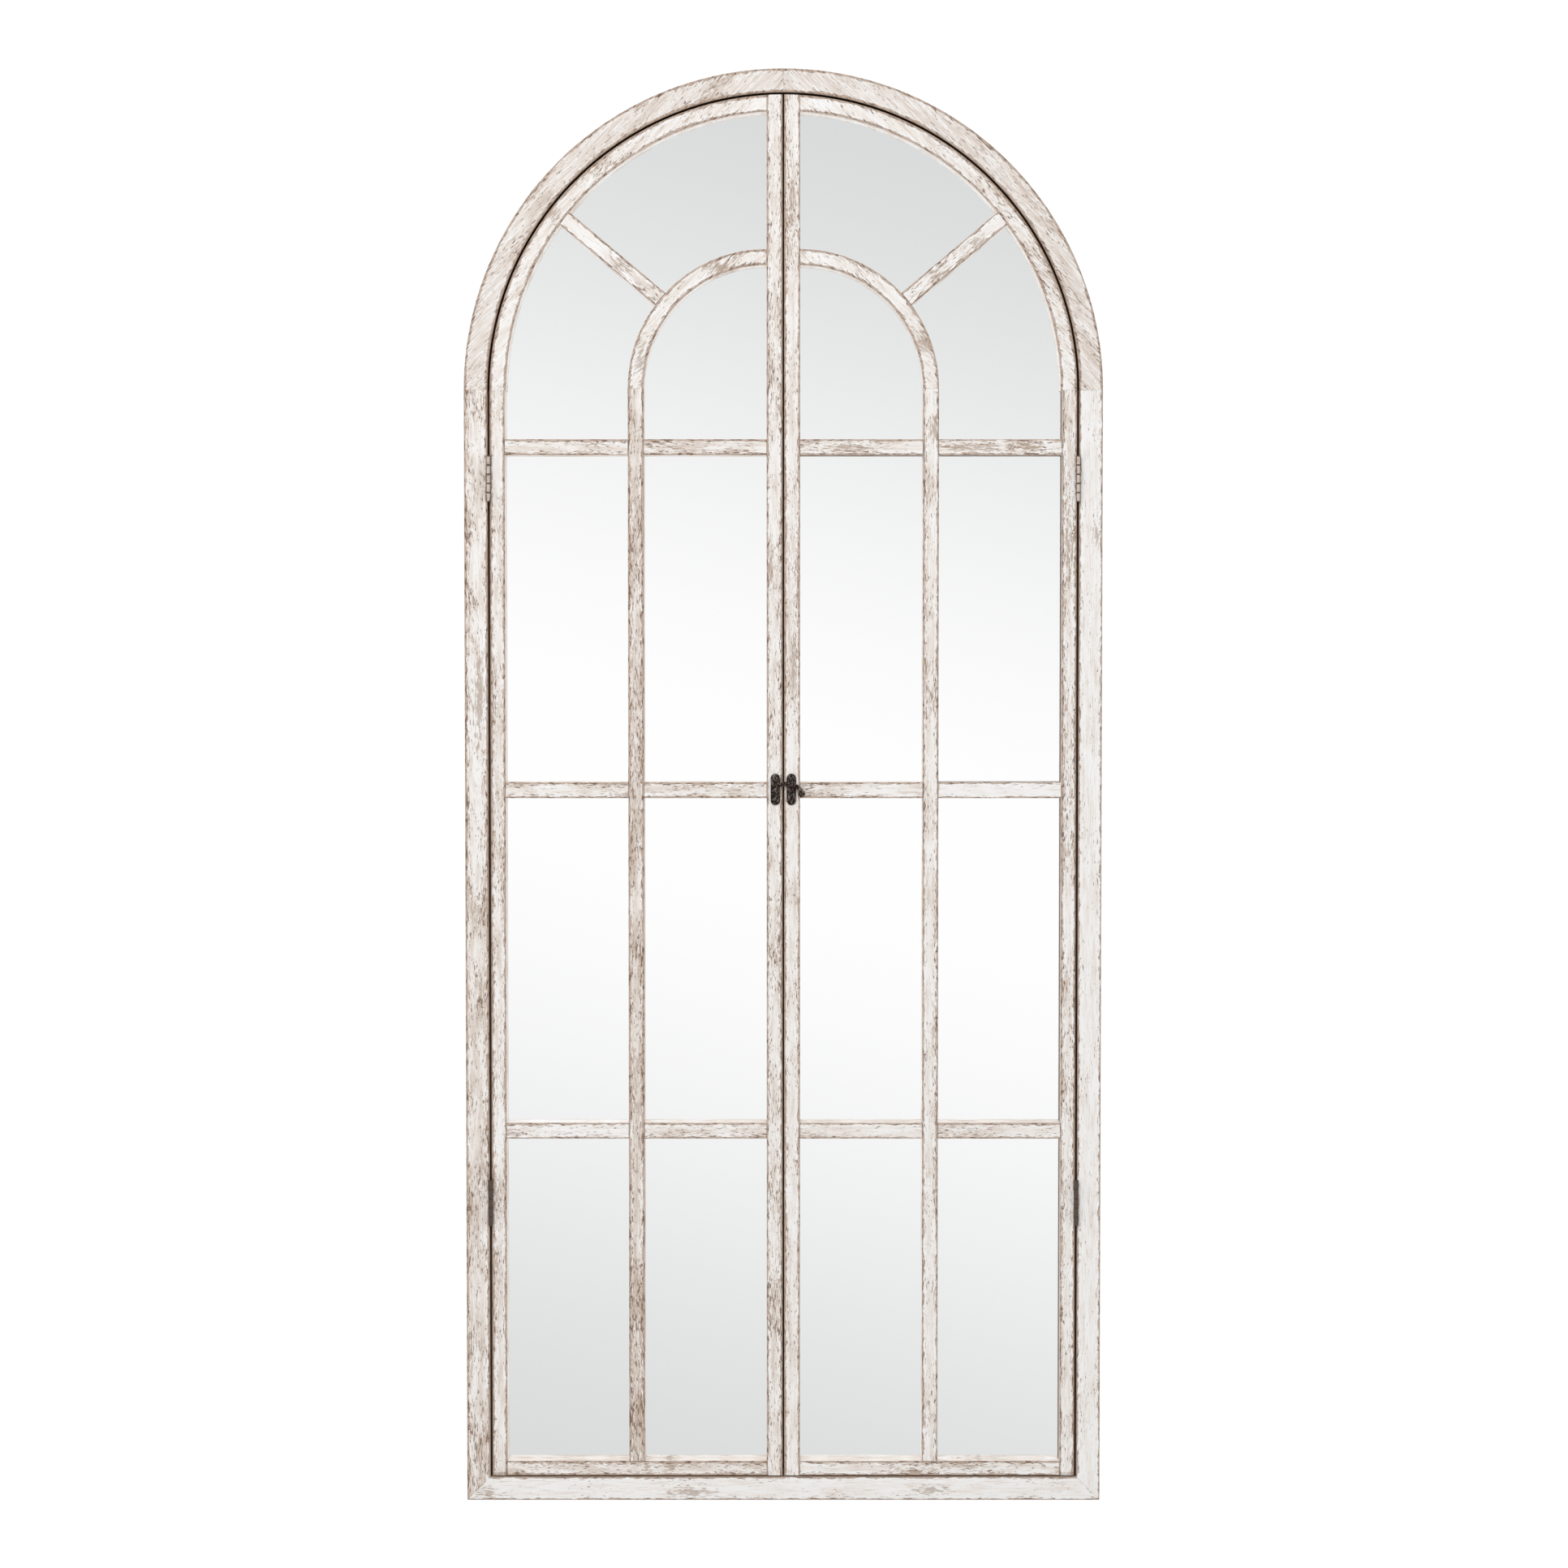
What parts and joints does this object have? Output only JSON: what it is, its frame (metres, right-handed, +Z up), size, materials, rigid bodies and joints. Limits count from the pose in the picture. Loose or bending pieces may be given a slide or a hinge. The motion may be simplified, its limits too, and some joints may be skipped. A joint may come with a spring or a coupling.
{
  "type": "arched window mirror",
  "caption": "Tall wall mirror like an arched casement: mirror in a wooden casing behind two barred leaves on butt hinges with a hook latch.",
  "frame": {"origin": "middle of the bottom edge of the back, on the wall plane", "axes": "+X to the right seen from the front, +Y into the wall (the front faces -Y), +Z up"},
  "size_m": [0.8, 0.0418, 1.8],
  "materials": {
    "whitewashed_casing": "whitewashed pine, rubbed through to brown on the arrises",
    "whitewashed_leaf": "whitewashed pine, rubbed through to brown on the arrises",
    "mirror_glass": "silvered float glass, polished",
    "backing_board": "bare hardboard",
    "dark_strip": "softwood stained near black, matt",
    "dowel_beech": "bare beech",
    "plain_steel": "zinc plated steel, dull",
    "painted_hinge": "steel painted over in white, chipped",
    "aged_hinge": "steel browned with age under thin paint",
    "dark_iron": "dark brown-black forged iron, satin"
  },
  "bodies": {
    "casing": {"backing_board": "backing_board", "backing_tabs": "plain_steel", "casing_dowels": "dowel_beech", "centre_strip": "dark_strip", "frame_hinge_screws": "plain_steel", "hanger_plates": "plain_steel", "hanger_screws": "plain_steel", "left_arch_half": "whitewashed_casing", "left_jamb": "whitewashed_casing", "left_lower_hinge_frame_leaf": "aged_hinge", "left_lower_hinge_pin": "aged_hinge", "left_upper_hinge_frame_leaf": "painted_hinge", "left_upper_hinge_pin": "painted_hinge", "mirror_glass": "mirror_glass", "right_arch_half": "whitewashed_casing", "right_jamb": "whitewashed_casing", "right_lower_hinge_frame_leaf": "aged_hinge", "right_lower_hinge_pin": "aged_hinge", "right_upper_hinge_frame_leaf": "painted_hinge", "right_upper_hinge_pin": "painted_hinge", "sill": "whitewashed_casing"},
    "left_door": {"left_arch_rail": "whitewashed_leaf", "left_bottom_rail": "whitewashed_leaf", "left_door_hinge_screws": "plain_steel", "left_fan_bar": "whitewashed_leaf", "left_hanging_stile": "whitewashed_leaf", "left_inner_arch": "whitewashed_leaf", "left_latch_plate": "dark_iron", "left_latch_screws": "dark_iron", "left_lower_hinge_door_leaf": "aged_hinge", "left_lower_inner_transom": "whitewashed_leaf", "left_lower_outer_transom": "whitewashed_leaf", "left_meeting_stile": "whitewashed_leaf", "left_middle_inner_transom": "whitewashed_leaf", "left_middle_outer_transom": "whitewashed_leaf", "left_muntin": "whitewashed_leaf", "left_upper_hinge_door_leaf": "painted_hinge", "left_upper_inner_transom": "whitewashed_leaf", "left_upper_outer_transom": "whitewashed_leaf", "latch_rivet": "dark_iron"},
    "right_door": {"right_arch_rail": "whitewashed_leaf", "right_bottom_rail": "whitewashed_leaf", "right_door_hinge_screws": "plain_steel", "right_fan_bar": "whitewashed_leaf", "right_hanging_stile": "whitewashed_leaf", "right_inner_arch": "whitewashed_leaf", "right_latch_plate": "dark_iron", "right_latch_screws": "dark_iron", "right_lower_hinge_door_leaf": "aged_hinge", "right_lower_inner_transom": "whitewashed_leaf", "right_lower_outer_transom": "whitewashed_leaf", "right_meeting_stile": "whitewashed_leaf", "right_middle_inner_transom": "whitewashed_leaf", "right_middle_outer_transom": "whitewashed_leaf", "right_muntin": "whitewashed_leaf", "right_upper_hinge_door_leaf": "painted_hinge", "right_upper_inner_transom": "whitewashed_leaf", "right_upper_outer_transom": "whitewashed_leaf", "latch_peg": "dark_iron"},
    "hook": {"latch_hook": "dark_iron"}
  },
  "joints": [
    {"name": "left_door_hinge", "type": "hinge", "parent": "casing", "child": "left_door", "pos_m": [-0.3691, -0.0383, 0.9], "axis": [0, 0, -1], "range_deg": [0, 170]},
    {"name": "right_door_hinge", "type": "hinge", "parent": "casing", "child": "right_door", "pos_m": [0.3691, -0.0383, 0.9], "axis": [0, 0, 1], "range_deg": [0, 170]},
    {"name": "latch_hook_pivot", "type": "hinge", "parent": "left_door", "child": "hook", "pos_m": [-0.01, -0.0387, 0.9], "axis": [0, -1, 0], "range_deg": [0, 100]}
  ]
}
